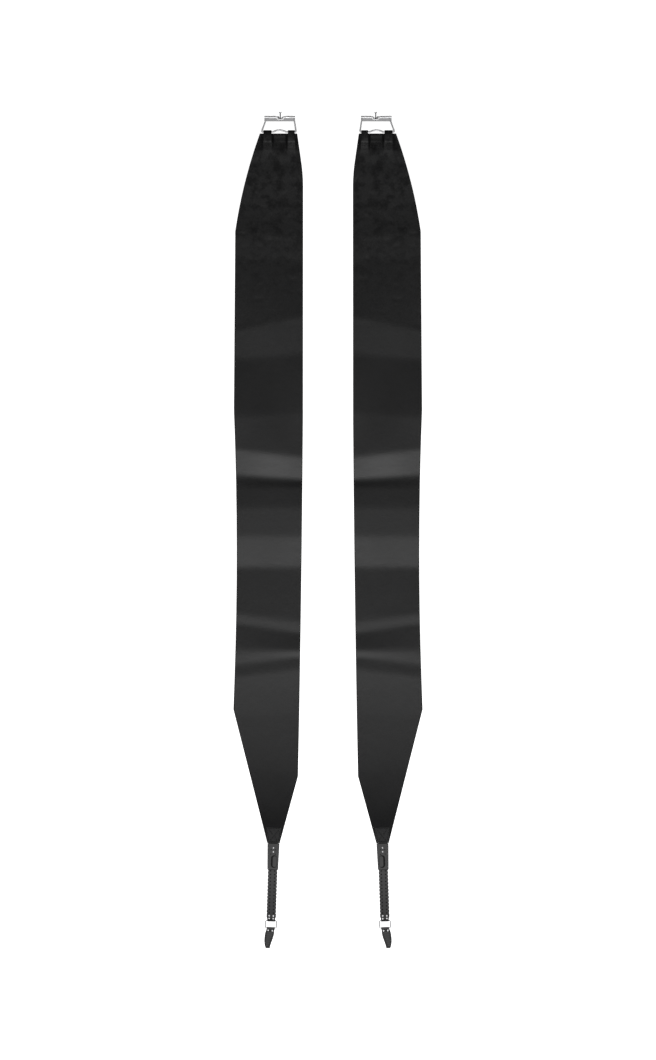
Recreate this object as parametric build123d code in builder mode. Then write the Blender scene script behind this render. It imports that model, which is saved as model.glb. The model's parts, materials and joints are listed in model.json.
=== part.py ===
"""Pair of splitboard climbing skins, lying flat on their glue with the plush side up.

Origin: on the ground under the middle of the pair. +Y points to the tips, +X to the right skin.
The left skin is modelled, and the right one is its mirror image across the YZ plane.
All sizes are in millimetres.
"""
from build123d import *
import os
from math import cos, radians, sin, tan

# sheet
PLUSH = 1.8                    # pile and backing cloth together
GLUE = 0.3                     # adhesive layer under the backing
FOLD_Y = 93.5                  # the line where the skin folds in half, glue to glue
JOINT_GAP = 0.15               # space each side of a folding line

# tip bail: a bent wire that swings in the skin's folded end
WIRE_R = 1.8
LOOP_CLEAR = 0.15
TIP_Y = 799.5                  # outer edge of the folded end
LOOP_R = WIRE_R + LOOP_CLEAR   # inside of the folded end
BAIL_Z = PLUSH + LOOP_R        # height of the bail's swing axis
BAIL_Y = TIP_Y - LOOP_R - PLUSH
BAIL_TOP_Y = 825.5             # centre line of the wire's outer run
BASE_LEFT, BASE_RIGHT = -133.1, -63.7
TOP_LEFT, TOP_RIGHT = -122.1, -68.4
BASE_BEND, TOP_BEND = 2.2, 4.0
BOW_X, BOW_ANGLE = -96.6, 26   # bow of the base run, clear of the skin's edge
BOW_FOOT_R, BOW_CREST_R = 9.0, 27.0
DIP_X, DIP_ANGLE = -95.4, 60   # dip of the outer run, where the hook sits
DIP_FOOT_R, DIP_BED_R = 3.0, 5.0
RELIEF_Y = 792.1               # the folded end stops here where the bail has to pass
LOOP_LEFT = (-129.2, -113.0)   # the two loops that hold the bail
LOOP_RIGHT = (-80.2, -66.4)

# folded end
FOLD_END_Y = 764.0             # cut end of the cloth turned under
RAMP_Y = 752.0
BUMP_BACK_Y = 783.0
BUMP_FRONT_Y = 791.5
STITCH = (3.6, 0.9, 0.35)      # length, width and height of one stitch
SEAM_YS = (768.0, 773.5)
SEAM_PITCH = 5.2

# bail plate, pressed round the outer run of the wire
SHEET = 0.8
PLATE_BORE_R = WIRE_R + 0.05
PLATE_BACK_Y = 817.0
PLATE_X = (-127.2, -65.6)
NOTCH_R = 9.0
HOOK_EYE_R, HOOK_EYE_W = 2.8, 2.6
HOOK_CLEAR = 0.15

# tail fittings, on a centre line that leans outwards
TAIL_LEAN = 1.8
TAIL_HEAD = (-108.9, -626.5)
TAIL = Plane(
    origin=(*TAIL_HEAD, 0),
    x_dir=(cos(radians(TAIL_LEAN)), -sin(radians(TAIL_LEAN)), 0),
    z_dir=(0, 0, 1),
)
WEBBING = 1.4
STRAP_W, STRAP_T, STRAP_Z = 19.0, 1.5, 1.5
SLIDE_CLEAR = 0.12
KEEPER_L, KEEPER_T = 52.5, 4.9
KEEPER_HEAD_W, KEEPER_MOUTH_W = 24.0, 21.4
STRAP_END_V = -21.3            # inner end of the strap, inside the keeper
HOLE_PITCH, HOLE_R, HOLE_U = 7.0, 1.35, 4.1
HOLE_DEPTH = 1.1               # the holes are blind
FIRST_HOLE_V, HOLE_ROWS = -27.3, 17
SCALLOP_R, SCALLOP_REACH = 2.3, 0.8
WINDOW_L, WINDOW_W = 25.0, 12.4
WINDOW_U, WINDOW_V = 2.0, -36.3
LOCK_L, LOCK_W, LOCK_T = 22.6, 8.7, 1.5
LOCK_U = 3.45
LOCK_Z = 3.4
RING_R, RING_BEND = 1.0, 3.0
RING_HALF_W = 10.9
RING_CLEAR = 0.1
EYE_WALL = 1.1
EYE_R = RING_R + RING_CLEAR + EYE_WALL
EYE_W = 16.0
RING_TOP_V, RING_LOW_V = -154.4, -169.6
STRAP_RIVETS_V = (-145.0, -150.4)
TAB_T = 3.0
TAB_RIVETS = ((-5.4, -174.0), (3.2, -174.6))
TAB_END_V = -209.95
RIB_PITCH, RIB_H, RIB_COUNT = 4.1, 0.6, 7
FIRST_RIB_V = -179.2


def write_pair(piece, name):
    """Writes the piece as the left one, and its mirror image as the right one."""
    with BuildPart() as twin:
        mirror(piece.part, about=Plane.YZ)
    for side, made in (("left", piece), ("right", twin)):
        made.part.label = f"{side}_{name}"
        export_step(made.part, f"parts/{side}_{name}.step")


def tail_point(u, v):
    """A point of the tail's leaning frame, in the skin's own frame."""
    point = TAIL.from_local_coords(Vector(u, v))
    return (point.X, point.Y)


def skin_outline():
    """The whole skin seen from above: tip, shoulders, waist and pointed tail."""
    tip_outer, tip_inner = (-133.8, TIP_Y), (-62.5, TIP_Y)
    shoulder_outer, hip_outer = (-185.5, 597.5), (-188.1, 240.0)
    corner_outer, corner_inner = (-189.3, -358.5), (-59.9, -492.5)
    shoulder_inner, hip_inner = (-49.7, 688.0), (-50.0, 220.0)
    taper_inner = (-52.5, 730.0)
    tail_outer, tail_inner = tail_point(-12.6, JOINT_GAP), tail_point(12.2, JOINT_GAP)
    with BuildSketch() as outline:
        with BuildLine():
            ThreePointArc(tip_outer, (-163.6, 705.0), shoulder_outer)
            Line(shoulder_outer, hip_outer)
            ThreePointArc(hip_outer, (-182.5, -50.0), corner_outer)
            Polyline(corner_outer, tail_outer, tail_inner, corner_inner)
            ThreePointArc(corner_inner, (-53.2, -90.0), hip_inner)
            Line(hip_inner, shoulder_inner)
            ThreePointArc(shoulder_inner, (-50.6, 711.0), taper_inner)
            Polyline(taper_inner, tip_inner, tip_outer)
        make_face()
    return outline.sketch


def band(y_low, y_high):
    """A cutting sketch that spans the left skin between two heights."""
    with BuildSketch() as strip:
        with Locations((-120, (y_low + y_high) / 2)):
            Rectangle(200, y_high - y_low)
    return strip.sketch


def flat_sheet(z_low, thickness, y_low, y_high):
    """A length of the skin's outline, as one flat layer."""
    with BuildPart() as sheet:
        with BuildSketch(Plane.XY.offset(z_low)):
            add(skin_outline())
            add(band(y_low, y_high), mode=Mode.INTERSECT)
        extrude(amount=thickness)
    return sheet


def front_plush():
    """Front half of the plush, with its end turned under round the bail's wire."""
    top, doubled = GLUE + PLUSH, 2 * PLUSH
    crown = BAIL_Z + LOOP_R + PLUSH
    with BuildPart() as plush:
        with BuildSketch(Plane.YZ.offset(-200)):
            with BuildLine():
                ThreePointArc((BAIL_Y, 0), (TIP_Y, BAIL_Z), (BAIL_Y, crown))
                Polyline(
                    (BAIL_Y, crown),
                    (BUMP_FRONT_Y, crown),
                    (BUMP_BACK_Y, doubled),
                    (FOLD_END_Y + 2, doubled),
                    (RAMP_Y + 2, top),
                    (FOLD_Y + JOINT_GAP, top),
                    (FOLD_Y + JOINT_GAP, GLUE),
                    (RAMP_Y, GLUE),
                    (FOLD_END_Y, PLUSH),
                    (FOLD_END_Y, 0),
                    (BAIL_Y, 0),
                )
            make_face()
            with Locations((BAIL_Y, BAIL_Z)):
                Circle(LOOP_R, mode=Mode.SUBTRACT)
            with BuildLine():
                Polyline(
                    (BAIL_Y, BAIL_Z - LOOP_R),
                    (BAIL_Y, BAIL_Z + LOOP_R),
                    (BUMP_FRONT_Y + 0.5, BAIL_Z + LOOP_R),
                    (BUMP_BACK_Y + 1.5, PLUSH),
                    close=True,
                )
            make_face(mode=Mode.SUBTRACT)
        extrude(amount=160)
        with BuildSketch():
            add(skin_outline())
        extrude(amount=2 * crown, mode=Mode.INTERSECT)
        with BuildSketch():
            for low, high in (
                (-150, LOOP_LEFT[0]),
                (LOOP_LEFT[1], LOOP_RIGHT[0]),
                (LOOP_RIGHT[1], -50),
            ):
                with Locations(((low + high) / 2, RELIEF_Y + 10)):
                    Rectangle(high - low, 20)
        extrude(amount=2 * crown, mode=Mode.SUBTRACT)
    return plush


def stitch_row(start, end, z, plane=Plane.XY, pitch=SEAM_PITCH):
    """Evenly spaced stitches from one point to another, as separate solids."""
    run = Vector(*end) - Vector(*start)
    count = round(run.length / pitch)
    turn = run.get_signed_angle(Vector(1, 0, 0), Vector(0, 0, -1))
    with BuildPart() as row:
        with BuildSketch(plane.offset(z)):
            for index in range(count):
                middle = Vector(*start) + run * ((index + 0.5) / count)
                with Locations(Location(middle, (0, 0, turn))):
                    SlotOverall(STITCH[0], STITCH[1])
        extrude(amount=STITCH[2])
    return row


def tip_stitching():
    """Two seams that hold the end turned under."""
    with BuildPart() as seams:
        for y in SEAM_YS:
            left, right = (-141.0, y, 0), (-60.5, y, 0)
            add(stitch_row(left, right, 2 * PLUSH).part)
    return seams


def bail_half(bow_side, base_x, top_x):
    """Centre line of half the bail: bow, loop run, arm, outer run and dip."""
    bow_half = (BOW_FOOT_R + BOW_CREST_R) * sin(radians(BOW_ANGLE))
    bow_rise = (BOW_FOOT_R + BOW_CREST_R) * (1 - cos(radians(BOW_ANGLE)))
    dip_half = (DIP_FOOT_R + DIP_BED_R) * sin(radians(DIP_ANGLE))
    with BuildLine(Plane.XY.offset(BAIL_Z)) as line:
        crest = JernArc(
            (BOW_X, BAIL_Y + bow_rise), (bow_side, 0), BOW_CREST_R, -bow_side * BOW_ANGLE
        )
        JernArc(crest @ 1, crest % 1, BOW_FOOT_R, bow_side * BOW_ANGLE)
        arms = FilletPolyline(
            (BOW_X + bow_side * bow_half, BAIL_Y),
            (base_x, BAIL_Y),
            (top_x, BAIL_TOP_Y),
            (DIP_X + bow_side * dip_half, BAIL_TOP_Y),
            radius=[BASE_BEND, TOP_BEND],
        )
        foot = JernArc(arms @ 1, arms % 1, DIP_FOOT_R, bow_side * DIP_ANGLE)
        JernArc(foot @ 1, foot % 1, DIP_BED_R, -bow_side * DIP_ANGLE)
    return line.line


def bail_rod(radius):
    """The bail's bent wire at the radius given."""
    with BuildPart() as rod:
        for half in ((-1, BASE_LEFT, TOP_LEFT), (1, BASE_RIGHT, TOP_RIGHT)):
            path = bail_half(*half)
            with BuildSketch(Plane(origin=path @ 0, z_dir=path % 0)):
                Circle(radius)
            sweep(path=path)
    return rod


DIP_Y = BAIL_TOP_Y - (DIP_FOOT_R + DIP_BED_R) * (1 - cos(radians(DIP_ANGLE)))


def hook_eye(grown):
    """The round eye of the tip hook, grown on every side."""
    with BuildPart() as disc:
        with BuildSketch(Plane.YZ.offset(DIP_X - HOOK_EYE_W / 2 - grown)):
            with Locations((DIP_Y, BAIL_Z)):
                Circle(HOOK_EYE_R + grown)
        extrude(amount=HOOK_EYE_W + 2 * grown)
    return disc.part


def bail_plate():
    """Sheet pressed round the wire's outer run, its notch over the dip."""
    width = PLATE_X[1] - PLATE_X[0]
    tube_r = PLATE_BORE_R + SHEET
    with BuildPart() as plate:
        with BuildSketch(Plane.YZ.offset(PLATE_X[0])):
            with Locations((BAIL_TOP_Y, BAIL_Z)):
                Circle(tube_r)
            with Locations(((PLATE_BACK_Y + BAIL_TOP_Y) / 2, BAIL_Z)):
                Rectangle(BAIL_TOP_Y - PLATE_BACK_Y, 2 * SHEET)
        extrude(amount=width)
        with BuildSketch():
            with Locations((DIP_X, BAIL_TOP_Y + tube_r)):
                Circle(NOTCH_R)
        extrude(amount=4 * BAIL_Z, mode=Mode.SUBTRACT)
        add(bail_rod(PLATE_BORE_R).part, mode=Mode.SUBTRACT)
        add(hook_eye(HOOK_CLEAR), mode=Mode.SUBTRACT)
    return plate


def tip_hook():
    """Forked hook on the wire's dip: an eye, a stem, two prongs and a thumb."""
    bore_r = WIRE_R + 0.25
    stem_r, prong_r = 1.2, 0.85
    fork_y, prong_rise, prong_lean = 833.17, 3.9, 33
    with BuildPart() as hook:
        add(hook_eye(0))
        with BuildSketch(Plane(origin=(DIP_X, DIP_Y, BAIL_Z), z_dir=(0, 1, 0))):
            Circle(stem_r)
        extrude(amount=fork_y - DIP_Y)
        for lean in (-prong_lean, prong_lean):
            way = (tan(radians(lean)), 1, 0)
            with BuildSketch(Plane(origin=(DIP_X, fork_y - 0.6, BAIL_Z), z_dir=way)):
                Circle(prong_r)
            extrude(amount=prong_rise)
        with BuildSketch(Plane(origin=(DIP_X, DIP_Y, BAIL_Z), z_dir=(-0.8, 1, 0))):
            Circle(prong_r)
        extrude(amount=7.6)
        with BuildSketch(Plane.YZ.offset(DIP_X - HOOK_EYE_W)):
            with Locations((DIP_Y, BAIL_Z)):
                Circle(bore_r)
        extrude(amount=2 * HOOK_EYE_W, mode=Mode.SUBTRACT)
        add(bail_rod(WIRE_R + 0.05).part, mode=Mode.SUBTRACT)
    return hook


def tail_patch():
    """Webbing patch sewn over the skin's tail."""
    with BuildPart() as patch:
        with BuildSketch(TAIL.offset(GLUE + PLUSH)):
            with BuildLine():
                Polyline(
                    (-14.8, 32), (-11.6, JOINT_GAP), (11.4, JOINT_GAP), (14.4, 32), close=True
                )
            make_face()
        extrude(amount=WEBBING)
    return patch


def patch_stitching():
    """Boxed cross of stitches on the patch."""
    z = GLUE + PLUSH + WEBBING
    high_left, high_right = (-12.4, 29.5, 0), (12.0, 29.5, 0)
    low_left, low_right = (-9.2, 3.2, 0), (9.0, 3.2, 0)
    inset = Vector(2.2, 0, 0)
    rows = (
        (high_left, high_right),
        (low_left, low_right),
        (Vector(*high_left) - Vector(0.8, 2.4, 0), Vector(*low_left) + Vector(-0.8, 2.4, 0)),
        (Vector(*high_right) + Vector(0.8, -2.4, 0), Vector(*low_right) + Vector(0.8, 2.4, 0)),
        (Vector(*high_left) + inset - Vector(0, 2.4, 0), Vector(-2.2, 18.1, 0)),
        (Vector(2.0, 14.4, 0), Vector(*low_right) - inset + Vector(0, 2.4, 0)),
        (Vector(*high_right) - inset - Vector(0, 2.4, 0), Vector(*low_left) + inset + Vector(0, 2.4, 0)),
    )
    with BuildPart() as stitches:
        for start, end in rows:
            add(stitch_row(tuple(start), tuple(end), z, TAIL, pitch=4.6).part)
    return stitches


def drill(points, radius, depth_from, depth_to):
    """Round holes square to the tail's plane, as one cutting body."""
    with BuildPart() as holes:
        with BuildSketch(TAIL.offset(depth_from)):
            with Locations(*points):
                Circle(radius)
        extrude(amount=depth_to - depth_from)
    return holes.part


def rivets(points, shank_r, head_r, head_h, z_low, z_top):
    """Rivets with a domed head above and a flush head below."""
    with BuildPart() as made:
        with BuildSketch(TAIL.offset(z_low)):
            with Locations(*points):
                Circle(head_r)
        extrude(amount=head_h)
        with BuildSketch(TAIL.offset(z_low)):
            with Locations(*points):
                Circle(shank_r)
        extrude(amount=z_top - z_low)
        with BuildSketch(TAIL.offset(z_top)):
            with Locations(*points):
                Circle(head_r)
        extrude(amount=head_h)
        crowns = made.edges().filter_by(GeomType.CIRCLE).group_by(Axis.Z)[-1]
        fillet(crowns, head_h * 0.7)
    return made


KEEPER_RIVETS = ((0.2, -8.8), (0.2, -16.8))
KEEPER_RIVET = {"shank_r": 1.0, "head_r": 1.45, "head_h": 0.6}
STRAP_RIVETS = tuple((u, v) for v in STRAP_RIVETS_V for u in (-HOLE_U, HOLE_U))
SMALL_RIVET = {"shank_r": 1.05, "head_r": 1.65, "head_h": 0.5}
RIVET_CLEAR = 0.05


def rivet_seats(points, rivet, z_top):
    """The cut that a set of rivets needs: a shank hole and a sunk seat below."""
    with BuildPart() as seats:
        add(drill(points, rivet["shank_r"] + RIVET_CLEAR, -1, z_top + 1))
        add(drill(points, rivet["head_r"] + RIVET_CLEAR, -1, rivet["head_h"] + RIVET_CLEAR))
    return seats.part


def tail_tongue():
    """Webbing tongue that the keeper is riveted to."""
    with BuildPart() as tongue:
        with BuildSketch(TAIL.offset(STRAP_Z + 0.05)):
            with Locations((0, -JOINT_GAP - 10)):
                Rectangle(18, 20)
        extrude(amount=WEBBING)
        holes = drill(KEEPER_RIVETS, KEEPER_RIVET["shank_r"] + RIVET_CLEAR, -1, KEEPER_T)
        add(holes, mode=Mode.SUBTRACT)
    return tongue


def tail_keeper():
    """Moulded sleeve for the strap, with a long window in its upper wall."""
    head, mouth = KEEPER_HEAD_W / 2, KEEPER_MOUTH_W / 2
    channel_w = STRAP_W + 4 * SLIDE_CLEAR
    with BuildPart() as keeper:
        with BuildSketch(TAIL):
            with BuildLine():
                Polyline(
                    (-head, -JOINT_GAP),
                    (-mouth, -KEEPER_L),
                    (mouth, -KEEPER_L),
                    (head, -JOINT_GAP),
                    close=True,
                )
            make_face()
        extrude(amount=KEEPER_T)
        fillet(keeper.edges().filter_by(Axis.Z), 1.0)
        chamfer(keeper.faces().sort_by(Axis.Z)[-1].edges(), 0.5)
        with BuildSketch(TAIL.offset(STRAP_Z - SLIDE_CLEAR)):
            with Locations((0, -KEEPER_L / 2)):
                Rectangle(channel_w, KEEPER_L + 2)
        extrude(amount=STRAP_T + 2 * SLIDE_CLEAR, mode=Mode.SUBTRACT)
        with BuildSketch(TAIL.offset(STRAP_Z + STRAP_T / 2)):
            with Locations(Location((WINDOW_U, WINDOW_V), (0, 0, 90))):
                SlotOverall(WINDOW_L, WINDOW_W)
        extrude(amount=KEEPER_T, mode=Mode.SUBTRACT)
        dimples = ((-4.4, -12.8), (4.4, -12.8), (-4.8, -21.6), (4.2, -21.6))
        add(drill(dimples, 1.0, KEEPER_T - 0.8, KEEPER_T + 1), mode=Mode.SUBTRACT)
        add(rivet_seats(KEEPER_RIVETS, KEEPER_RIVET, KEEPER_T), mode=Mode.SUBTRACT)
    return keeper


def lock_tongue():
    """Springy tongue in the keeper's window that presses on the strap."""
    with BuildPart() as lock:
        with BuildSketch(TAIL.offset(LOCK_Z)):
            with Locations(Location((LOCK_U, WINDOW_V), (0, 0, 90))):
                SlotOverall(LOCK_L, LOCK_W)
        extrude(amount=LOCK_T)
        chamfer(lock.faces().sort_by(Axis.Z)[-1].edges(), 0.4)
    return lock


def eye(v, half_width):
    """A band wrapped round a bar of the ring, as a tube across the tail."""
    tube = Plane(origin=TAIL.from_local_coords(Vector(-half_width, v, EYE_R)), z_dir=TAIL.x_dir)
    with BuildPart() as wrap:
        with BuildSketch(tube):
            Circle(EYE_R)
        extrude(amount=2 * half_width)
    return wrap.part


def eye_bore(v):
    """The hole through an eye."""
    tube = Plane(origin=TAIL.from_local_coords(Vector(-20, v, EYE_R)), z_dir=TAIL.x_dir)
    with BuildPart() as bore:
        with BuildSketch(tube):
            Circle(RING_R + RING_CLEAR)
        extrude(amount=40)
    return bore.part


def ladder_strap():
    """Moulded strap with two columns of holes, its end doubled round the ring."""
    half = STRAP_W / 2
    rows = [FIRST_HOLE_V - HOLE_PITCH * row for row in range(HOLE_ROWS)]
    with BuildPart() as strap:
        with BuildSketch(TAIL.offset(STRAP_Z)):
            with BuildLine():
                Polyline(
                    (-half, STRAP_END_V),
                    (-half, -147),
                    (-EYE_W / 2, -151),
                    (-EYE_W / 2, RING_TOP_V),
                    (EYE_W / 2, RING_TOP_V),
                    (EYE_W / 2, -151),
                    (half, -147),
                    (half, STRAP_END_V),
                    close=True,
                )
            make_face()
            scallop_u = half + SCALLOP_R - SCALLOP_REACH
            with Locations(*[(u, v) for v in rows for u in (-scallop_u, scallop_u)]):
                Circle(SCALLOP_R, mode=Mode.SUBTRACT)
        extrude(amount=STRAP_T)
        holes = [(u, v) for v in rows for u in (-HOLE_U, HOLE_U)]
        strap_top = STRAP_Z + STRAP_T
        add(drill(holes, HOLE_R, strap_top - HOLE_DEPTH, strap_top + 1), mode=Mode.SUBTRACT)
        with BuildSketch(TAIL):
            with Locations((0, (RING_TOP_V - 141) / 2)):
                Rectangle(EYE_W, -RING_TOP_V - 141)
        extrude(amount=STRAP_Z)
        add(eye(RING_TOP_V, EYE_W / 2))
        add(eye_bore(RING_TOP_V), mode=Mode.SUBTRACT)
        add(rivet_seats(STRAP_RIVETS, SMALL_RIVET, STRAP_Z + STRAP_T), mode=Mode.SUBTRACT)
    return strap


def tail_ring():
    """Oval ring of wire that hooks over the board's tail."""
    with BuildPart() as ring:
        for side in (-1, 1):
            with BuildLine(TAIL.offset(EYE_R)) as line:
                FilletPolyline(
                    (0, RING_TOP_V),
                    (side * RING_HALF_W, RING_TOP_V),
                    (side * RING_HALF_W, RING_LOW_V),
                    (0, RING_LOW_V),
                    radius=RING_BEND,
                )
            path = line.line
            with BuildSketch(Plane(origin=path @ 0, z_dir=path % 0)):
                Circle(RING_R)
            sweep(path=path)
    return ring


def tab_outline():
    """The pull tab seen from above, its tip leaning outwards."""
    with BuildSketch() as outline:
        with BuildLine():
            Line((-EYE_W / 2, RING_LOW_V), (EYE_W / 2, RING_LOW_V))
            Line((EYE_W / 2, RING_LOW_V), (7.0, -176.0))
            Spline((7.0, -176.0), (5.9, -185.5), (2.7, -196.0), (-0.9, TAB_END_V))
            Line((-0.9, TAB_END_V), (-9.2, TAB_END_V))
            Spline((-9.2, TAB_END_V), (-11.0, -205.0), (-12.4, -191.0), (-11.0, -178.5))
            Line((-11.0, -178.5), (-EYE_W / 2, RING_LOW_V))
        make_face()
        fillet(outline.vertices().group_by(Axis.Y)[0], 0.9)
    return outline.sketch


def pull_tab():
    """Ribbed tab that the ring is pulled with."""
    ribs = [FIRST_RIB_V - RIB_PITCH * index for index in range(RIB_COUNT)]
    with BuildPart() as tab:
        with BuildSketch(TAIL):
            add(tab_outline())
        extrude(amount=TAB_T)
        add(eye(RING_LOW_V, EYE_W / 2))
        add(eye_bore(RING_LOW_V), mode=Mode.SUBTRACT)
        with BuildSketch(TAIL.offset(TAB_T)):
            for index, v in enumerate(ribs):
                with Locations((-1.8 - 0.85 * index, v)):
                    SlotOverall(12.6 - 1.1 * index, 2.4)
        extrude(amount=RIB_H)
        add(rivet_seats(TAB_RIVETS, SMALL_RIVET, TAB_T), mode=Mode.SUBTRACT)
    return tab


os.makedirs("parts", exist_ok=True)
SKIN_TAIL_Y = -640.0
write_pair(flat_sheet(GLUE, PLUSH, SKIN_TAIL_Y, FOLD_Y - JOINT_GAP), "rear_plush")
write_pair(flat_sheet(0, GLUE, SKIN_TAIL_Y, FOLD_Y - JOINT_GAP), "rear_glue")
write_pair(front_plush(), "front_plush")
write_pair(flat_sheet(0, GLUE, FOLD_Y + JOINT_GAP, RAMP_Y), "front_glue")
write_pair(tip_stitching(), "tip_stitching")
write_pair(bail_rod(WIRE_R), "bail_wire")
write_pair(bail_plate(), "bail_plate")
write_pair(tip_hook(), "tip_hook")
write_pair(tail_patch(), "tail_patch")
write_pair(patch_stitching(), "patch_stitching")
write_pair(tail_tongue(), "tail_tongue")
write_pair(tail_keeper(), "tail_keeper")
write_pair(rivets(KEEPER_RIVETS, z_low=0, z_top=KEEPER_T, **KEEPER_RIVET), "keeper_rivets")
write_pair(lock_tongue(), "lock_tongue")
write_pair(ladder_strap(), "ladder_strap")
write_pair(rivets(STRAP_RIVETS, z_low=0, z_top=STRAP_Z + STRAP_T, **SMALL_RIVET), "strap_rivets")
write_pair(tail_ring(), "tail_ring")
write_pair(pull_tab(), "pull_tab")
write_pair(rivets(TAB_RIVETS, z_low=0, z_top=TAB_T, **SMALL_RIVET), "tab_rivets")
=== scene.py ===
"""A pair of splitboard climbing skins lying flat, plush side up, seen from straight above.

The left skin's soft parts are shaped here and mirrored for the right one. Shapes are worked
out in millimetres, in the frame's own axes, and MM turns them into Blender's metres.
"""
import json
from math import cos, pi, sin, sqrt

import bpy
import numpy as np
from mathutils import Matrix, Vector, noise


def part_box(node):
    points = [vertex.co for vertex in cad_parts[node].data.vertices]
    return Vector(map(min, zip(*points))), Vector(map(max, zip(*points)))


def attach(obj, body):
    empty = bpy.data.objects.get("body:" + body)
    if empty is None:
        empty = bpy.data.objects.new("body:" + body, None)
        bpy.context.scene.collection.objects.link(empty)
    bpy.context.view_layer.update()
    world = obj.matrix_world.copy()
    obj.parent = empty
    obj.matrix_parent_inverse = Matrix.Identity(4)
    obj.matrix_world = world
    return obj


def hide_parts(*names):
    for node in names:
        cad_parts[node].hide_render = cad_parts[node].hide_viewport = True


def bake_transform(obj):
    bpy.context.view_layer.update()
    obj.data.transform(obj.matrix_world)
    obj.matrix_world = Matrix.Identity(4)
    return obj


MM = 0.001
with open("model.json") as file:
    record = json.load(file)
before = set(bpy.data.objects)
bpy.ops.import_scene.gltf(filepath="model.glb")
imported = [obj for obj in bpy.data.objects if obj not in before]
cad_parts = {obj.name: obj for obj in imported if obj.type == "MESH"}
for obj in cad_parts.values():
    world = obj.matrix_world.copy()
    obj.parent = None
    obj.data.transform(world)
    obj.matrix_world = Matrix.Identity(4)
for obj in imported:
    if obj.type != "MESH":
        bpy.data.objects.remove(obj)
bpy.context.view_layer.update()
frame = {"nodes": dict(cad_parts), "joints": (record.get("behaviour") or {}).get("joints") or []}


# ---------------------------------------------------------------- the frame, in millimetres

def box_mm(node):
    """Lowest and highest corner of a CAD node."""
    low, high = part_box(node)
    return np.array(low) / MM, np.array(high) / MM


def joint_named(name):
    return next(joint for joint in frame["joints"] if joint["name"] == name)


def corners_mm(node):
    return np.array([v.co for v in frame["nodes"][node].data.vertices]) / MM


GLUE = box_mm("left_rear_glue")[1][2]
TOP = box_mm("left_rear_plush")[1][2]
PLUSH = TOP - GLUE
AXIS_Y, AXIS_Z = (v / MM for v in joint_named("left_bail_swing")["pos_m"][1:])
TIP_Y = box_mm("left_front_plush")[1][1]
RAMP_Y = box_mm("left_front_glue")[1][1]
SEAM_LOW, SEAM_HIGH = (corner[1] for corner in box_mm("left_tip_stitching"))
LOOP_R = AXIS_Z - PLUSH

SPLIT_X = -110.0               # between the skin's outer and inner edge, at any height
PLUSH_TIP = corners_mm("left_front_plush")
LOOP_XS = sorted({round(x, 2) for x, y, z in PLUSH_TIP if y > TIP_Y - 1})
LOOP_GAP = max(range(1, len(LOOP_XS)), key=lambda i: LOOP_XS[i] - LOOP_XS[i - 1])
LOOPS = (LOOP_XS[0], LOOP_XS[LOOP_GAP - 1], LOOP_XS[LOOP_GAP], LOOP_XS[-1])
RELIEF_Y = max(y for x, y, z in PLUSH_TIP if x < LOOPS[0] - 0.5)
TAIL_END_Y = -626.3            # the sheet's tail end, on its centre line
TAIL_TURN = 40.0               # over this length the rows turn to follow the leaning tail end


# ---------------------------------------------------------------- small maths

def ease(t):
    """Smooth step from 0 to 1."""
    t = np.clip(t, 0.0, 1.0)
    return t * t * (3 - 2 * t)


def mix(a, b, t):
    return a + (b - a) * t


# ---------------------------------------------------------------- meshes

def add_mesh(name, points, faces, side, uvs=None):
    """A smooth mesh from millimetre points made for the left skin, mirrored for the right."""
    points = np.array(points, float) * MM
    if side == "right":
        points[:, 0] *= -1
        faces = [tuple(reversed(face)) for face in faces]
    mesh = bpy.data.meshes.new(f"{side}_soft_{name}")
    mesh.from_pydata(points.tolist(), [], [tuple(int(i) for i in face) for face in faces])
    if uvs is not None:
        layer = mesh.uv_layers.new(name="cloth")
        corners = np.empty(len(mesh.loops), np.int32)
        mesh.loops.foreach_get("vertex_index", corners)
        layer.data.foreach_set("uv", np.array(uvs, np.float32)[corners].ravel())
    mesh.polygons.foreach_set("use_smooth", [True] * len(mesh.polygons))
    mesh.update()
    made = bpy.data.objects.new(f"{side}_soft_{name}", mesh)
    bpy.context.scene.collection.objects.link(made)
    return made


def grid_faces(index):
    """Quads over a two-dimensional table of vertex numbers."""
    a, b = index[:-1, :-1].ravel(), index[:-1, 1:].ravel()
    c, d = index[1:, 1:].ravel(), index[1:, :-1].ravel()
    return list(zip(a, b, c, d))


def wall_faces(upper, lower):
    """Quads between two rows of vertex numbers."""
    return list(zip(upper[:-1], upper[1:], lower[1:], lower[:-1]))


# ---------------------------------------------------------------- outline of the skin

def edge_curve(inner):
    """Heights and positions of the skin's inner or outer edge, as the CAD outline has them."""
    points = {}
    for node in ("left_rear_plush", "left_front_plush"):
        for x, y, z in corners_mm(node):
            if y < RELIEF_Y - 0.5 and (x > SPLIT_X) == inner:
                points[round(y, 2)] = x
    heights = sorted(points)
    return np.array(heights), np.array([points[y] for y in heights])


OUTER_EDGE, INNER_EDGE = edge_curve(False), edge_curve(True)
TAIL_OUTER_Y, TAIL_INNER_Y = OUTER_EDGE[0][0], INNER_EDGE[0][0]


def edge_x(edge, y):
    """Position of an edge at a height; past the last point it runs on straight."""
    heights, places = edge
    past = np.maximum(y - heights[-1], 0)
    slope = (places[-1] - places[-2]) / (heights[-1] - heights[-2])
    return np.interp(y, heights, places) + past * slope


RIM = (0.0, 0.25, 0.6, 1.1, 1.8, 3.0)      # columns near an edge, by distance from it
CORNER_COLUMNS, LOOP_COLUMNS, MIDDLE_COLUMNS = 3, 12, 22
FAN_Y = (745.0, 783.0)         # between these the columns turn to run straight through the loops


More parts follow.
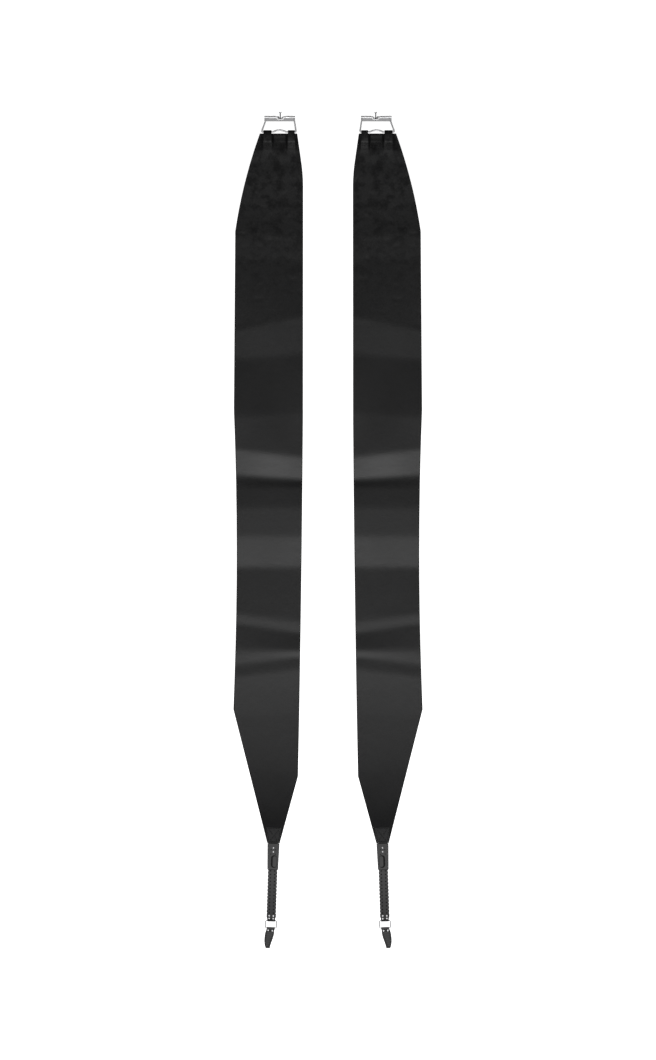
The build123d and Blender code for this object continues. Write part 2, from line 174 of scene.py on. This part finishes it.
def tip_columns():
    """Column positions in the tip, between the rims, and the number of each loop's sides."""
    outer = edge_x(OUTER_EDGE, FAN_Y[1]) + RIM[-1]
    inner = edge_x(INNER_EDGE, FAN_Y[1]) - RIM[-1]
    stops = (outer, *LOOPS, inner)
    counts = (CORNER_COLUMNS, LOOP_COLUMNS, MIDDLE_COLUMNS, LOOP_COLUMNS, CORNER_COLUMNS)
    places, sides = [outer], []
    for start, end, count in zip(stops[:-1], stops[1:], counts):
        places += [mix(start, end, (k + 1) / count) for k in range(count)]
        sides.append(len(places) - 1 + len(RIM) - 1)
    return np.array(places), [0, *sides[:-1], len(places) + 2 * len(RIM) - 3]


TIP_XS, BLOCK_SIDES = tip_columns()
COLUMNS = len(TIP_XS) + 2 * (len(RIM) - 1)


def row_xs(y_outer, y_inner):
    """Positions of every column of a row whose ends lie at two heights."""
    outer, inner = edge_x(OUTER_EDGE, y_outer), edge_x(INNER_EDGE, y_inner)
    share = (TIP_XS - TIP_XS[0]) / (TIP_XS[-1] - TIP_XS[0])
    spread = mix(outer + RIM[-1], inner - RIM[-1], share)
    turn = ease((y_outer - FAN_Y[0]) / (FAN_Y[1] - FAN_Y[0]))
    straight = TIP_XS.copy()
    straight[0], straight[-1] = spread[0], spread[-1]
    middle = mix(spread, straight, turn)
    rim = np.array(RIM[:-1])
    return np.concatenate((outer + rim, middle, inner - rim[::-1]))


def tail_share(y):
    """1 at the tail's leaning end, falling to 0 where the rows run straight across."""
    return float(ease(1 - (y - TAIL_END_Y) / TAIL_TURN))


# ---------------------------------------------------------------- waves of the lying skin

# Crests and hollows of the skin, from the tail to the tip: place along the skin, lift off the
# ground, and how far it is skewed across. The places are read from the photo's light and
# dark bands; the lifts are chosen one by one. A stretch that rises towards the tip looks light.
CREASES = (
    (-600, 0.0, 0), (-480, 0.5, 0), (-370, 2.0, 0), (-285, 4.0, -8), (-262, 3.0, -8),
    (-240, 4.0, 0), (-198, 1.5, 10), (-175, 2.5, 8), (-76, 0.0, 0), (-12, 5.0, 0),
    (45, 6.5, 0), (86, 5.0, 0), (102, 3.0, 4), (154, 9.5, 8), (230, 10.5, -4),
    (345, 7.0, -6), (412, 9.5, -16), (540, 6.0, 0), (590, 6.5, 0), (640, 4.0, 0), (735, 0.0, 0),
)
BEND = 24.0                    # length over which the skin bends at a crest or hollow
WAVE_STEP = 2.0


def wave_table():
    """Lift of the skin off the ground along its length: the creases joined by soft bends."""
    heights = np.arange(CREASES[0][0] - BEND, CREASES[-1][0] + BEND, WAVE_STEP)
    lift = np.interp(heights, [row[0] for row in CREASES], [row[1] for row in CREASES])
    kernel = np.hanning(int(BEND / WAVE_STEP) + 1)
    return heights, np.convolve(lift, kernel / kernel.sum(), "same")


WAVE_YS, WAVE_LIFT = wave_table()


def lift_at(x, y):
    """How far the skin is off the ground at a place, by its waves."""
    outer, inner = edge_x(OUTER_EDGE, y), edge_x(INNER_EDGE, y)
    across = (x - (outer + inner) / 2) / max(1.0, (inner - outer) / 2)
    skew = np.interp(y, [row[0] for row in CREASES], [row[2] for row in CREASES])
    lift = np.interp(y + skew * across, WAVE_YS, WAVE_LIFT)
    slow = noise.noise(Vector((x / 90, y / 160, 3.1)))
    return lift * (1 + 0.18 * slow)


# ---------------------------------------------------------------- the plush sheet

ROW_STEP = 2.5
PILE_DROOP, PILE_ROUND = 0.9, 1.3          # the pile leans down over this depth and width
FOLD_END_Y = SEAM_LOW - 3.6                # where the cloth turned under ends
BUMP_START_Y, BUMP_TOP_Y = 750.0, 792.5
RISE_Y = RAMP_Y - 24.0                     # the upper layer starts to rise over the turned end
LOOP_ROWS, ARC_ROWS = 3, 14
LIP_R = 1.3                                # half the thickness of the lips beside the loops
LIP_Z = LIP_R + 1.0                        # height of their middle
LIP_START_Y = RELIEF_Y - 9.0
LIP_Y = RELIEF_Y + 0.8                     # front of the lips, clear of the swinging wire


def loop_share(x):
    """1 within a loop, falling to 0 beside it."""
    reach = 5.0
    share = 0.0
    for low, high in (LOOPS[:2], LOOPS[2:]):
        away = max(low - x, x - high, 0.0)
        share = max(share, 1 - away / reach)
    return ease(share)


def backing_z(x, y):
    """Height of the upper layer's backing."""
    rise = ease((y - RISE_Y) / (FOLD_END_Y - RISE_Y))
    flat = mix(GLUE, PLUSH, rise)
    bump = ease((y - BUMP_START_Y) / (BUMP_TOP_Y - BUMP_START_Y)) * loop_share(x)
    lip = (LIP_Z - PLUSH) * ease((y - LIP_START_Y) / 6) * (1 - loop_share(x))
    return flat + bump * (AXIS_Z + LOOP_R - PLUSH) + lip + lift_at(x, y)


def seam_sink(x, y):
    """How far the seams pull the pile down."""
    sink = 0.0
    for seam, depth in ((SEAM_LOW + 0.45, 0.7), (SEAM_HIGH - 0.45, 0.6), (FOLD_END_Y, 0.45)):
        pull = 0.75 + 0.25 * cos(2 * pi * x / 5.2)
        sink += depth * pull * max(0.0, 1 - abs(y - seam) / 2.6) ** 2
    return sink


def tuft(x, y):
    """Unevenness of the pile: clumps all over, and disturbed patches near the tip."""
    fine = noise.noise(Vector((x / 3.1, y / 4.3, 0.0)))
    clump = noise.noise(Vector((x / 9.0, y / 13.0, 7.0)))
    rough = float(ease((y - 330.0) / 260.0))
    patch = noise.noise(Vector((x / 21.0, y / 27.0, 11.0)))
    parted = max(0.0, -clump - 0.22) * rough
    return 0.03 * fine + (0.035 + 0.05 * rough) * clump + 0.12 * rough * patch - 0.5 * parted


def plush_rows():
    """Rows of the sheet, from the tail over the tip and back: (kind, place)."""
    flat = np.arange(0, 1, ROW_STEP / (RELIEF_Y - TAIL_END_Y))
    rows = [("upper", mix(TAIL_END_Y - 0.05, RELIEF_Y, t)) for t in flat]
    rows.append(("upper", RELIEF_Y))
    rows += [("over", (k + 1) / LOOP_ROWS) for k in range(LOOP_ROWS)]
    rows += [("arc", pi / 2 - pi * (k + 1) / ARC_ROWS) for k in range(ARC_ROWS)]
    rows += [("back", (k + 1) / LOOP_ROWS) for k in range(LOOP_ROWS - 1)]
    under = int((RELIEF_Y - FOLD_END_Y) / ROW_STEP)
    rows += [("under", mix(RELIEF_Y, FOLD_END_Y, k / under)) for k in range(under + 1)]
    return rows


def sheet_point(kind, place, x, in_loop):
    """Backing point and outward direction of the sheet, in the plane across the tip."""
    if kind == "upper":
        return place, backing_z(x, place), 0.0, 1.0
    if kind == "under":
        return place, PLUSH - 0.02, 0.0, -1.0
    if in_loop:
        start = RELIEF_Y
        if kind == "over":
            return mix(start, AXIS_Y, place), AXIS_Z + LOOP_R, 0.0, 1.0
        if kind == "arc":
            return AXIS_Y + LOOP_R * cos(place), AXIS_Z + LOOP_R * sin(place), cos(place), sin(place)
        return mix(AXIS_Y, start, place), PLUSH - 0.02, 0.0, -1.0
    nose = LIP_Y - LIP_R
    if kind == "over":
        return mix(RELIEF_Y, nose, place), LIP_Z + 0.01, 0.0, 1.0
    if kind == "arc":
        return nose + 0.01 * cos(place), LIP_Z + 0.01 * sin(place), cos(place), sin(place)
    return mix(nose, RELIEF_Y, place), LIP_Z - 0.01, 0.0, -1.0


def pile_height(kind, place, x, from_edge, in_loop):
    """Thickness of the pile at a point of the sheet."""
    lean = max(0.0, 1 - from_edge / PILE_ROUND)
    droop = PILE_DROOP * (1 - sqrt(max(0.0, 1 - lean * lean)))
    height = PLUSH - droop
    if kind == "upper":
        tail = max(0.0, 1 - (place - TAIL_INNER_Y) / 8)
        crush = 0.75 * tail
        height += tuft(x, place) - seam_sink(x, place) - crush
    elif not in_loop and kind in ("over", "arc", "back"):
        height = LIP_R - 0.5 * droop
    return max(height, 0.5)


def plush_sheet(side):
    """The whole plush of one skin: a closed sheet that turns under at the tip."""
    rows = plush_rows()
    cut = [k for k, row in enumerate(rows) if row[0] in ("over", "arc", "back")]
    first, last = cut[0] - 1, cut[-1] + 1
    points, uvs = [], []
    skew = TAIL_OUTER_Y - TAIL_INNER_Y

    def add_row(kind, place, run, start, stop, in_loop):
        """Vertices of a row between two columns; returns outer and backing numbers."""
        tail = tail_share(place) if kind == "upper" else 0.0
        y_flat = place if kind in ("upper", "under") else RELIEF_Y
        xs = row_xs(y_flat + tail * skew / 2, y_flat - tail * skew / 2)
        outer_ids, back_ids = [], []
        for column in range(start, stop + 1):
            x = xs[column]
            share = (x - xs[0]) / (xs[-1] - xs[0])
            from_edge = min(x - xs[0], xs[-1] - x)
            y, z, out_y, out_z = sheet_point(kind, place, x, in_loop)
            y += tail * skew * (0.5 - share)
            pile = pile_height(kind, place, x, from_edge, in_loop)
            back_ids.append(len(points))
            points.append((x, y, z))
            outer_ids.append(len(points))
            points.append((x, y + out_y * pile, max(z + out_z * pile, 0.0)))
            uvs.extend(((x * MM, run * MM), (x * MM, run * MM)))
        return outer_ids, back_ids

    runs, run = [], 0.0
    for kind, place in rows:
        runs.append(run)
        run += ROW_STEP if kind in ("upper", "under") else 0.8
    whole = {}
    for k, (kind, place) in enumerate(rows):
        if k <= first or k >= last:
            whole[k] = add_row(kind, place, runs[k], 0, COLUMNS - 1, False)
    faces = []

    def cover(tables):
        """Closes a block of rows: both faces and both side walls."""
        outer = np.array([table[0] for table in tables])
        back = np.array([table[1] for table in tables])
        faces.extend(grid_faces(outer))
        faces.extend(face[::-1] for face in grid_faces(back))
        faces.extend(wall_faces(outer[:, 0], back[:, 0]))
        faces.extend(wall_faces(back[:, -1], outer[:, -1]))

    cover([whole[k] for k in range(first + 1)])
    cover([whole[k] for k in range(last, len(rows))])
    for block, (start, stop) in enumerate(zip(BLOCK_SIDES[:-1], BLOCK_SIDES[1:])):
        near = [part[start:stop + 1] for part in whole[first]]
        far = [part[start:stop + 1] for part in whole[last]]
        between = [add_row(*rows[k], runs[k], start, stop, block in (1, 3)) for k in cut]
        cover([near, *between, far])
    outer, back = whole[0]
    faces.extend(wall_faces(back, outer))
    outer, back = whole[len(rows) - 1]
    faces.extend(wall_faces(outer, back))
    return add_mesh("plush", points, faces, side, uvs)


GLUE_INSET = 0.5
GLUE_END_Y = RAMP_Y - 1.0


def glue_sheet(side):
    """The adhesive layer under the plush, with the same waves."""
    start_y = TAIL_END_Y + 0.4
    count = int((GLUE_END_Y - start_y) / ROW_STEP)
    skew = TAIL_OUTER_Y - TAIL_INNER_Y
    tables, points, uvs = [], [], []
    for k in range(count + 1):
        y_row = mix(start_y, GLUE_END_Y, k / count)
        tail = tail_share(y_row)
        xs = row_xs(y_row + tail * skew / 2, y_row - tail * skew / 2)[1::2]
        xs[0] += GLUE_INSET
        xs[-1] -= GLUE_INSET
        upper, lower = [], []
        for x in xs:
            y = y_row + tail * skew * (0.5 - (x - xs[0]) / (xs[-1] - xs[0]))
            z = lift_at(x, y)
            for ids, height in ((upper, GLUE + 0.04), (lower, 0.0)):
                ids.append(len(points))
                points.append((x, y, z + height))
                uvs.append((x * MM, y * MM))
        tables.append((upper, lower))
    upper = np.array([table[0] for table in tables])
    lower = np.array([table[1] for table in tables])
    faces = grid_faces(upper)
    faces += [face[::-1] for face in grid_faces(lower)]
    faces += wall_faces(upper[:, 0], lower[:, 0]) + wall_faces(lower[:, -1], upper[:, -1])
    faces += wall_faces(lower[0], upper[0]) + wall_faces(upper[-1], lower[-1])
    return add_mesh("glue", points, faces, side, uvs)


# ---------------------------------------------------------------- stitches

THREAD_R = 0.55
THREAD_RINGS, THREAD_SIDES = 10, 8


def loose_parts(node):
    """Corner points of each separate solid of a CAD node."""
    corners = np.round(corners_mm(node), 3)
    unique, index = np.unique(corners, axis=0, return_inverse=True)
    index = index.ravel()
    parent = list(range(len(unique)))

    def root(i):
        while parent[i] != i:
            parent[i] = parent[parent[i]]
            i = parent[i]
        return i

    for polygon in frame["nodes"][node].data.polygons:
        first = root(index[polygon.vertices[0]])
        for vertex in polygon.vertices[1:]:
            parent[root(index[vertex])] = first
    groups = {}
    for i, point in enumerate(unique):
        groups.setdefault(root(i), []).append(point)
    return [np.array(group) for group in groups.values()]


def stitches(name, side, sink):
    """Twisted thread in place of each CAD stitch of a node."""
    points, faces = [], []
    for part in loose_parts(f"left_{name}"):
        middle = (part.min(0) + part.max(0)) / 2
        flat = part[:, :2] - part[:, :2].mean(0)
        way = np.linalg.svd(flat, full_matrices=False)[2][0]
        half = np.abs(flat @ way).max() + 0.25
        base = part[:, 2].min() - sink
        if name == "tip_stitching":
            base += backing_z(middle[0], middle[1]) - PLUSH
        start = len(points)
        for ring in range(THREAD_RINGS + 1):
            t = 2 * ring / THREAD_RINGS - 1
            bow = sqrt(max(0.0, 1 - abs(t) ** 2.6))
            centre = (middle[0] + way[0] * half * t, middle[1] + way[1] * half * t,
                      base - 0.35 + 0.75 * bow)
            for spoke in range(THREAD_SIDES):
                angle = 2 * pi * spoke / THREAD_SIDES
                strand = THREAD_R * (1 + 0.16 * cos(2 * (angle - 2.4 * t))) * (0.62 + 0.38 * bow)
                side_way = strand * cos(angle)
                points.append((centre[0] - way[1] * side_way, centre[1] + way[0] * side_way,
                               centre[2] + strand * sin(angle)))
        index = np.arange(start, len(points)).reshape(THREAD_RINGS + 1, THREAD_SIDES)
        index = np.concatenate((index, index[:, :1]), axis=1)
        faces += [face[::-1] for face in grid_faces(index)]
        faces += [tuple(index[0, :-1]), tuple(index[-1, :-1][::-1])]
    return add_mesh(name, points, faces, side)


# ---------------------------------------------------------------- webbing at the tail

TAIL = joint_named("left_tail_flex")
TAIL_POINT = np.array(TAIL["pos_m"][:2]) / MM
TAIL_U = -np.array(TAIL["axis"][:2])
TAIL_V = np.array((-TAIL_U[1], TAIL_U[0]))
WEB_T = 1.4
WEB_TOP_V, WEB_END_V = 31.8, -20.0
CHANNEL_HALF, CHANNEL_Z = 9.0, 1.5
WEB_SINK = 0.15                # how far the webbing presses into the pile
SEAM_DENT, SEAM_REACH = 0.7, 2.6           # the stitches pull the webbing down around them


def tail_xy(u, v):
    return TAIL_POINT + TAIL_U * u + TAIL_V * v


def webbing(side):
    """The patch over the skin's tail and its tongue in the keeper, as one band."""
    low = box_mm("left_tail_patch")[0]
    patch = corners_mm("left_tail_patch")
    local = (patch[:, :2] - TAIL_POINT) @ np.array((TAIL_U, TAIL_V)).T
    head = local[local[:, 1] > 20]
    foot = local[local[:, 1] < 5]
    seams = np.array([part[:, :2].mean(0) for part in loose_parts("left_patch_stitching")])
    stations = [WEB_TOP_V, WEB_TOP_V - 0.4, *np.arange(30.9, 4, -0.9), *np.arange(3.5, -2.1, -0.5),
                -6, -12, WEB_END_V]
    across = np.array([-1, -0.985, -0.95, *np.linspace(-0.88, 0.88, 23), 0.95, 0.985, 1])
    points, uvs, tables = [], [], []
    for v in stations:
        share = (v - foot[:, 1].mean()) / (head[:, 1].mean() - foot[:, 1].mean())
        left = mix(foot[:, 0].min(), head[:, 0].min(), share)
        right = mix(foot[:, 0].max(), head[:, 0].max(), share)
        narrow = float(ease((2.4 - v) / 2.2))
        left, right = mix(left, -CHANNEL_HALF, narrow), mix(right, CHANNEL_HALF, narrow)
        bottom = mix(low[2] - WEB_SINK, CHANNEL_Z, float(ease((5.0 - v) / 4.8)))
        upper, lower = [], []
        for s in across:
            u = mix(left, right, (s + 1) / 2)
            x, y = tail_xy(u, v)
            rim = 0.35 * max(0.0, abs(s) - 0.95) / 0.05
            end = 0.3 if v > WEB_TOP_V - 0.1 else 0.0
            to_seam = np.hypot(*(seams - (x, y)).T).min()
            dent = SEAM_DENT * max(0.0, 1 - to_seam / SEAM_REACH) ** 2
            for ids, z in ((upper, bottom + WEB_T - rim - end - dent), (lower, bottom + 0.5 * rim)):
                ids.append(len(points))
                points.append((x, y, z))
                uvs.append((u * MM, v * MM))
        tables.append((upper, lower))
    upper = np.array([table[0] for table in tables])[::-1]
    lower = np.array([table[1] for table in tables])[::-1]
    faces = grid_faces(upper)
    faces += [face[::-1] for face in grid_faces(lower)]
    faces += wall_faces(upper[:, 0], lower[:, 0]) + wall_faces(lower[:, -1], upper[:, -1])
    faces += wall_faces(lower[0], upper[0]) + wall_faces(upper[-1], lower[-1])
    return add_mesh("tail_webbing", points, faces, side, uvs)


# ---------------------------------------------------------------- materials

class Shader:
    """A material and short ways to add nodes to it."""

    def __init__(self, name, **sockets):
        self.material = bpy.data.materials.new(name)
        self.material.use_nodes = True
        self.tree = self.material.node_tree
        self.surface = self.tree.nodes["Principled BSDF"]
        for socket, value in sockets.items():
            self.surface.inputs[socket.replace("_", " ")].default_value = value

    def add(self, kind, inputs=None, **settings):
        """A node with its settings; an input is a value or another node's output."""
        made = self.tree.nodes.new(kind)
        for setting, value in settings.items():
            setattr(made, setting, value)
        for socket, value in (inputs or {}).items():
            if isinstance(value, bpy.types.NodeSocket):
                self.tree.links.new(value, made.inputs[socket])
            else:
                made.inputs[socket].default_value = value
        return made

    def coordinates(self, source, scale):
        """Surface or object coordinates, scaled per axis."""
        place = self.add("ShaderNodeTexCoord").outputs[source]
        return self.add("ShaderNodeMapping", {"Vector": place, "Scale": scale}).outputs[0]

    def noise(self, place, scale, detail=2.0, rough=0.5):
        inputs = {"Vector": place, "Scale": scale, "Detail": detail, "Roughness": rough}
        return self.add("ShaderNodeTexNoise", inputs).outputs["Fac"]

    def maths(self, operation, a, b):
        return self.add("ShaderNodeMath", {0: a, 1: b}, operation=operation).outputs[0]

    def spread(self, value, low, high, to_low, to_high):
        """Maps a value from one range to another, clamped."""
        inputs = {"Value": value, "From Min": low, "From Max": high,
                  "To Min": to_low, "To Max": to_high}
        return self.add("ShaderNodeMapRange", inputs).outputs["Result"]

    def blend(self, share, dark, light):
        inputs = {"Factor": share, "A": (*dark, 1), "B": (*light, 1)}
        made = self.add("ShaderNodeMix", data_type="RGBA")
        for socket, value in inputs.items():
            slot = next(s for s in made.inputs if s.name == socket
                        and (socket == "Factor") == (s.type == "VALUE")
                        and s.type in ("VALUE", "RGBA"))
            if isinstance(value, bpy.types.NodeSocket):
                self.tree.links.new(value, slot)
            else:
                slot.default_value = value
        return next(s for s in made.outputs if s.type == "RGBA")

    def drive(self, socket, value):
        self.tree.links.new(value, self.surface.inputs[socket])

    def bumps(self, *layers):
        """Stacks bump layers, each (height, strength, distance in metres)."""
        normal = None
        for height, strength, distance in layers:
            inputs = {"Height": height, "Strength": strength, "Distance": distance}
            if normal is not None:
                inputs["Normal"] = normal
            normal = self.add("ShaderNodeBump", inputs).outputs["Normal"]
        self.drive("Normal", normal)


def plush_material():
    """Short black nylon pile: grainy and clumped, with a satin sheen along its nap."""
    s = Shader("plush")
    place = s.coordinates("UV", (1, 1, 1))
    fibres = s.noise(s.coordinates("UV", (1.0, 0.4, 1)), 1500, 2.0)
    grain = s.noise(place, 420, 3.0, 0.6)
    clump = s.noise(place, 130, 3.0)
    cloud = s.noise(place, 18, 3.0)
    tone = s.maths("ADD", s.maths("MULTIPLY", grain, 0.6), s.maths("MULTIPLY", cloud, 0.4))
    s.drive("Base Color", s.blend(s.spread(tone, 0.35, 0.65, 0, 1),
                                  (0.004, 0.004, 0.0042), (0.009, 0.009, 0.0094)))
    s.drive("Roughness", s.spread(grain, 0.3, 0.7, 0.36, 0.46))
    along = s.add("ShaderNodeSeparateXYZ", {"Vector": place}).outputs[1]
    pressed = s.maths("MULTIPLY", s.spread(along, 0.04, 0.36, 0.08, 0.5),
                      s.spread(along, 1.2, 1.3, 1.0, 1.5))
    pressed = s.maths("MULTIPLY", pressed, s.spread(along, 1.33, 1.38, 1.0, 0.5))
    ruffled = s.maths("MULTIPLY", s.spread(s.noise(place, 45, 3.0, 0.6), 0.46, 0.62, 0, 1),
                      s.spread(along, 1.05, 1.3, 0, 0.5))
    s.drive("Specular IOR Level", s.maths("MULTIPLY", pressed, s.maths("SUBTRACT", 1.0, ruffled)))
    s.bumps((clump, 0.2, 0.0003), (grain, 0.5, 0.0002), (fibres, 0.4, 0.00012))
    return s.material


def glue_material():
    """Dark tacky adhesive with a satin, faintly stippled skin."""
    s = Shader("glue", Coat_Weight=0.35, Coat_Roughness=0.25)
    place = s.coordinates("UV", (1, 1, 1))
    stipple = s.noise(place, 700, 2.0)
    smear = s.noise(s.coordinates("UV", (0.25, 2.0, 1)), 60, 3.0)
    s.drive("Base Color", s.blend(smear, (0.022, 0.021, 0.020), (0.045, 0.043, 0.040)))
    s.drive("Roughness", s.spread(smear, 0.3, 0.7, 0.28, 0.48))
    s.bumps((smear, 0.15, 0.0004), (stipple, 0.3, 0.00012))
    return s.material


def webbing_material():
    """Twill nylon webbing."""
    s = Shader("webbing", Sheen_Weight=0.15, Sheen_Roughness=0.4)
    place = s.coordinates("UV", (1, 1, 1))
    parts = s.add("ShaderNodeSeparateXYZ", {"Vector": place}).outputs
    warp = s.maths("MULTIPLY", parts[0], 2 * pi / 0.0016)
    pick = s.maths("MULTIPLY", parts[1], 2 * pi / 0.0021)
    ribs = s.maths("SINE", warp, 0.0)
    slant = s.maths("SINE", s.maths("ADD", s.maths("MULTIPLY", warp, 0.5), pick), 0.0)
    weave = s.maths("ADD", s.maths("MULTIPLY", ribs, 0.5), s.maths("MULTIPLY", slant, 0.5))
    fuzz = s.noise(place, 2200, 2.0)
    s.drive("Base Color", s.blend(s.spread(weave, -0.8, 0.8, 0, 1),
                                  (0.010, 0.010, 0.0105), (0.034, 0.034, 0.035)))
    s.drive("Roughness", s.spread(fuzz, 0.3, 0.7, 0.5, 0.75))
    s.bumps((weave, 0.8, 0.00035), (fuzz, 0.35, 0.0001))
    return s.material


def thread_material():
    """Bonded polyester thread."""
    s = Shader("thread", Specular_IOR_Level=0.25)
    fuzz = s.noise(s.coordinates("Object", (1, 1, 1)), 3000, 2.0)
    # partly painted shade: the thread's own black is made darker still to stand for the shade of the
    # grooves the stitches pull in
    s.drive("Base Color", s.blend(fuzz, (0.003, 0.003, 0.003), (0.009, 0.009, 0.0095)))
    s.drive("Roughness", s.spread(fuzz, 0.3, 0.7, 0.38, 0.6))
    s.bumps((fuzz, 0.3, 0.00008))
    return s.material


def steel_material(name, dark, light, metallic):
    """Stainless wire and sheet with fine drawing marks and a few scuffs."""
    s = Shader(name, Metallic=metallic)
    marks = s.noise(s.coordinates("Object", (0.06, 1, 1)), 6000, 2.0)
    scuffs = s.noise(s.coordinates("Object", (1, 1, 1)), 260, 4.0, 0.65)
    s.drive("Base Color", s.blend(scuffs, dark, light))
    rough = s.maths("ADD", s.spread(scuffs, 0.4, 0.7, 0.30, 0.42),
                    s.maths("MULTIPLY", marks, 0.06))
    s.drive("Roughness", rough)
    s.bumps((marks, 0.12, 0.00004), (scuffs, 0.10, 0.0001))
    return s.material


def moulded_material(name, dark, light, roughness, pebble, shade_from, shade_to, covered_shade_y=None):
    """Moulded rubber or plastic with a pebbled skin, duller below its raised faces.

    Recesses up to shade_from, in millimetres, are painted shade, darker and less shiny; at shade_to the
    painted shade ends.
    Past the y given as the last argument, the colour is painted dark as the shade under the part that
    covers it, and darker again from y -690 mm down to -790 mm and beyond.
    """
    s = Shader(name)
    place = s.coordinates("Object", (1, 1, 1))
    skin = s.noise(place, 2600, 2.0)
    wear = s.noise(place, 120, 5.0, 0.65)
    parts = s.add("ShaderNodeSeparateXYZ", {"Vector": place}).outputs
    # painted shade: below the raised faces the colour darkens and the shine drops, as in the shade of a
    # recess
    unshaded = s.spread(parts[2], shade_from * MM, shade_to * MM, 0.12, 1.0)
    if covered_shade_y is not None:
        # painted shade under the covering part, then darker again from y -690 mm to -790 mm
        unshaded = s.maths("MULTIPLY", unshaded, s.spread(parts[1], (covered_shade_y - 1) * MM, covered_shade_y * MM, 1, 0.25))
        unshaded = s.maths("MULTIPLY", unshaded, s.spread(parts[1], -0.79, -0.69, 0.6, 1.0))
    tone = s.maths("MULTIPLY", s.spread(wear, 0.35, 0.7, 0.6, 1.0), unshaded)
    s.drive("Base Color", s.blend(tone, dark, light))
    s.drive("Specular IOR Level", s.maths("MULTIPLY", unshaded, 0.45))
    s.drive("Roughness", s.spread(wear, 0.3, 0.7, roughness - 0.06, roughness + 0.1))
    s.bumps((wear, 0.06, 0.0004), (skin, pebble, 0.00006))
    return s.material


def wear_materials(cad_materials):
    """Gives every carried-over CAD node the finish of its slot."""
    for name, node in frame["nodes"].items():
        part = name.split("_", 1)[1]
        finish = next((m for parts, m in cad_materials if part in parts), None)
        if finish:
            node.data.materials.clear()
            node.data.materials.append(finish)


# ---------------------------------------------------------------- the object

PLUSH_SKIN, GLUE_SKIN = plush_material(), glue_material()
WEBBING_SKIN, THREAD_SKIN = webbing_material(), thread_material()
STEEL = steel_material("steel", (0.66, 0.66, 0.67), (0.80, 0.80, 0.81), 0.3)
DARK_STEEL = steel_material("dark_steel", (0.24, 0.24, 0.25), (0.34, 0.34, 0.35), 0.7)
KEEPER_TOP, STRAP_TOP, TAB_TOP = 4.9, 3.0, 3.6     # their raised faces, below the rivets and eyes
KEEPER_SKIN = moulded_material("keeper", (0.003, 0.003, 0.003), (0.040, 0.040, 0.041), 0.44, 0.35,
                               KEEPER_TOP - 0.8, KEEPER_TOP - 0.4)
TAB_SKIN = moulded_material("tab", (0.012, 0.012, 0.012), (0.040, 0.040, 0.041), 0.48, 0.4,
                            TAB_TOP - 0.9, TAB_TOP - 0.1)
STRAP_SKIN = moulded_material("strap", (0.002, 0.002, 0.002), (0.040, 0.040, 0.041), 0.50, 0.5,
                              STRAP_TOP - 0.8, STRAP_TOP - 0.2, box_mm("left_tail_keeper")[0][1])
wear_materials((
    (("bail_wire", "bail_plate", "keeper_rivets", "strap_rivets", "tab_rivets"), STEEL),
    (("tip_hook", "tail_ring"), DARK_STEEL),
    (("tail_keeper", "lock_tongue"), KEEPER_SKIN),
    (("pull_tab",), TAB_SKIN),
    (("ladder_strap",), STRAP_SKIN),
))


for side in ("left", "right"):
    plush = plush_sheet(side)
    glue = glue_sheet(side)
    web = webbing(side)
    seam = stitches("tip_stitching", side, 0.55)
    cross = stitches("patch_stitching", side, 0.35)
    for piece, finish, slot, nodes in (
        (plush, PLUSH_SKIN, "plush", ("front_plush", "rear_plush")),
        (glue, GLUE_SKIN, "glue", ("front_glue", "rear_glue")),
        (web, WEBBING_SKIN, "webbing", ("tail_patch", "tail_tongue")),
        (seam, THREAD_SKIN, "thread", ("tip_stitching",)),
        (cross, THREAD_SKIN, "thread", ("patch_stitching",)),
    ):
        piece.data.materials.append(finish)
        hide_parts(*(f"{side}_{node}" for node in nodes))
    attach(seam, f"{side}_front")
    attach(cross, f"{side}_rear")
    for piece in (plush, glue):
        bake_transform(piece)
    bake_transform(web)


# ---------------------------------------------------------------- floor, light and camera

FLOOR_DROP = 0.12              # room below for the parts that fold under the skins
VIEW_HEIGHT = 2.12             # height of the picture at the skins, in metres
CAMERA_DISTANCE = 12.0


def studio():
    """A white floor under the skins and soft light from the tail end and above."""
    scene = bpy.context.scene
    scene.view_settings.view_transform = "Standard"
    bpy.ops.mesh.primitive_plane_add(size=30, location=(0, 0, -FLOOR_DROP))
    floor = bpy.context.object
    floor.name = "floor"
    paper = Shader("paper", Roughness=0.9)
    paper.surface.inputs["Base Color"].default_value = (0.9, 0.9, 0.9, 1)
    paper.surface.inputs["Emission Color"].default_value = (1, 1, 1, 1)
    paper.surface.inputs["Emission Strength"].default_value = 1.0
    floor.data.materials.append(paper.material)
    world = bpy.data.worlds.new("studio")
    scene.world = world
    world.use_nodes = True
    world.node_tree.nodes["Background"].inputs["Color"].default_value = (1, 1, 1, 1)
    world.node_tree.nodes["Background"].inputs["Strength"].default_value = 0.04
    for name, place, width, length, power in (
        ("key", (0, -3.0, 5.0), 1.2, 1.2, 214),
        ("overhead", (0, 0, 14.0), 1.6, 4.5, 27),
    ):
        lamp = bpy.data.lights.new(name, "AREA")
        lamp.shape, lamp.energy = "RECTANGLE", power
        lamp.size, lamp.size_y = width, length
        holder = bpy.data.objects.new(name, lamp)
        holder.location = place
        holder.rotation_euler = (-Vector(place)).to_track_quat("-Z", "Y").to_euler()
        scene.collection.objects.link(holder)


def camera():
    """Straight above the skins, tips up in the picture, from far enough to be nearly flat."""
    lens = bpy.data.cameras.new("camera")
    lens.sensor_width = 36.0
    lens.lens = lens.sensor_width * CAMERA_DISTANCE / VIEW_HEIGHT
    lens.clip_end = 100
    holder = bpy.data.objects.new("camera", lens)
    holder.location = (0, 0, CAMERA_DISTANCE)
    bpy.context.scene.collection.objects.link(holder)
    bpy.context.scene.camera = holder


studio()
camera()
